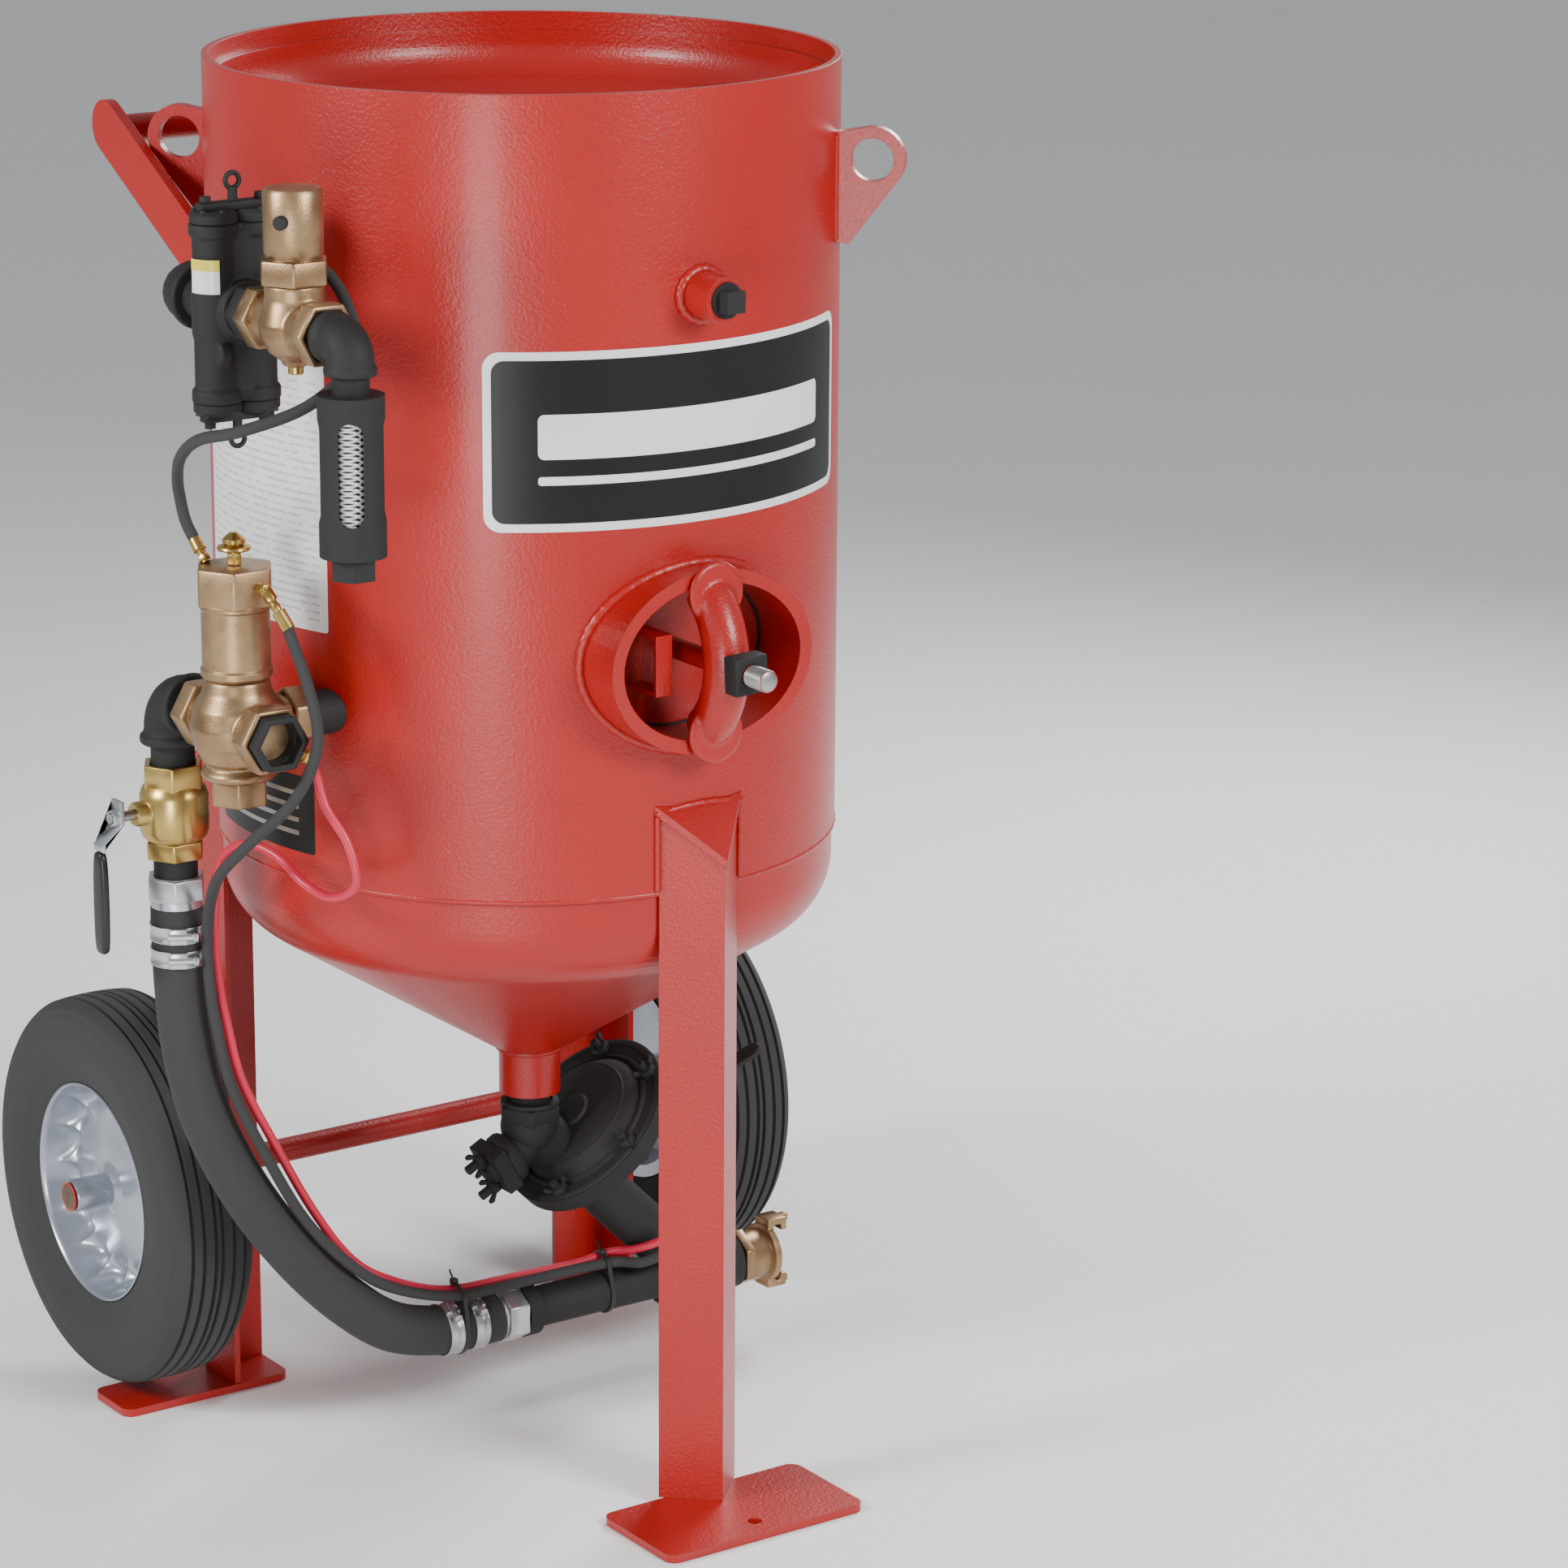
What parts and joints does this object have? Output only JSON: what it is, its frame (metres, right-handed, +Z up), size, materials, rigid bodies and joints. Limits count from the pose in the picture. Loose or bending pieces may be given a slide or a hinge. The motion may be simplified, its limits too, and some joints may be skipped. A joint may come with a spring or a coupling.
{
  "type": "portable abrasive blast pot",
  "caption": "Wheeled pressure vessel on angle-iron legs with filling head, oval handway, remote valves, muffler, hoses, metering valve and blast hose coupling.",
  "frame": {"origin": "middle of the machine's footprint, on the floor", "axes": "+X to the machine's right, -Y to the handway side, +Z up"},
  "size_m": [0.858, 0.8842, 1.38],
  "materials": {
    "red_paint": "semi-gloss powder coat with light orange peel",
    "seat_rubber": "matt",
    "black_iron": "satin black",
    "bronze": "as-cast bronze",
    "brass": "machined",
    "zinc": "zinc plated",
    "steel": "machined",
    "black_paint": "satin",
    "grip_plastic": "dipped vinyl",
    "hose_rubber": "smooth",
    "red_rubber": "smooth",
    "tie_plastic": "smooth",
    "label": "printed film",
    "tyre_rubber": "grooved",
    "rim_paint": "satin grey"
  },
  "bodies": {
    "vessel": {"tank_shell": "red_paint", "filling_head": "red_paint", "fill_seat": "seat_rubber", "bottom_head": "red_paint", "threaded_bosses": "red_paint", "front_leg": "red_paint", "left_leg": "red_paint", "right_leg": "red_paint", "foot_plates": "red_paint", "axle": "red_paint", "lifting_lugs": "red_paint", "push_handle": "red_paint", "handway_neck": "red_paint", "pipe_plug": "black_iron", "label_plates": "label", "air_standpipe": "red_paint", "pipe_nipples": "black_iron", "pipe_elbows": "black_iron", "hex_bushings": "black_iron", "trap_body": "black_iron", "trap_covers": "black_iron", "exhaust_body": "bronze", "exhaust_bonnet": "bronze", "muffler_can": "black_paint", "muffler_screen": "steel", "inlet_body": "bronze", "inlet_bonnet": "bronze", "brass_fittings": "brass", "ball_valve_body": "brass", "hose_couplings": "zinc", "air_hose": "hose_rubber", "hose_clamps": "zinc", "exhaust_line": "hose_rubber", "inlet_line": "hose_rubber", "red_line": "red_rubber", "cable_ties": "tie_plastic", "metering_elbow": "black_iron", "cleanout_cap": "black_iron", "metering_base": "black_iron", "metering_cover": "black_iron", "metering_bolts": "zinc", "pusher_pipe": "black_iron", "quick_coupling": "bronze", "coupling_gasket": "seat_rubber"},
    "popup_valve": {"popup_valve": "seat_rubber"},
    "handway_cover": {"handway_cover": "red_paint", "handway_gasket": "seat_rubber"},
    "crab": {"crab": "red_paint"},
    "crab_nut": {"crab_nut": "black_iron"},
    "exhaust_piston": {"exhaust_piston": "steel"},
    "inlet_piston": {"inlet_piston": "steel"},
    "ball_valve": {"valve_ball": "steel", "ball_lever": "zinc", "lever_grip": "grip_plastic"},
    "metering": {"metering_disc": "steel", "metering_lever": "black_iron"},
    "left_wheel": {"left_tyre": "tyre_rubber", "left_rim": "rim_paint"},
    "right_wheel": {"right_tyre": "tyre_rubber", "right_rim": "rim_paint"}
  },
  "joints": [
    {"name": "popup_slide", "type": "slide", "parent": "vessel", "child": "popup_valve", "axis": [0, 0, 1], "range_m": [0, 0.038]},
    {"name": "cover_slide", "type": "slide", "parent": "vessel", "child": "handway_cover", "axis": [0, 1, 0], "range_m": [0, 0.0075]},
    {"name": "crab_slide", "type": "slide", "parent": "vessel", "child": "crab", "axis": [0, -1, 0], "range_m": [0, 0.0075]},
    {"name": "nut_turn", "type": "hinge", "parent": "crab", "child": "crab_nut", "pos_m": [0.033, -0.40361, 0.85], "axis": [0, -1, 0], "range_deg": [0, 1080]},
    {"name": "exhaust_piston_slide", "type": "slide", "parent": "vessel", "child": "exhaust_piston", "axis": [0, 0, 1], "range_m": [0, 0.018]},
    {"name": "inlet_piston_slide", "type": "slide", "parent": "vessel", "child": "inlet_piston", "axis": [0, 0, 1], "range_m": [0, 0.018]},
    {"name": "ball_valve_turn", "type": "hinge", "parent": "vessel", "child": "ball_valve", "pos_m": [-0.343, 0.00939, 0.683], "axis": [1, 0, 0], "range_deg": [0, 90]},
    {"name": "metering_turn", "type": "hinge", "parent": "vessel", "child": "metering", "pos_m": [0.111, -0.01561, 0.279], "axis": [-0.7071, 0, 0.7071], "range_deg": [0, 60]},
    {"name": "left_wheel_spin", "type": "hinge", "parent": "vessel", "child": "left_wheel", "pos_m": [-0.287, 0.24211, 0.219], "axis": [1, 0, 0], "continuous": true},
    {"name": "right_wheel_spin", "type": "hinge", "parent": "vessel", "child": "right_wheel", "pos_m": [0.365, 0.24211, 0.219], "axis": [1, 0, 0], "continuous": true}
  ],
  "couplings": [
    {"joint": "nut_turn", "follows": "crab_slide", "rad_per_m": 2513.3}
  ]
}
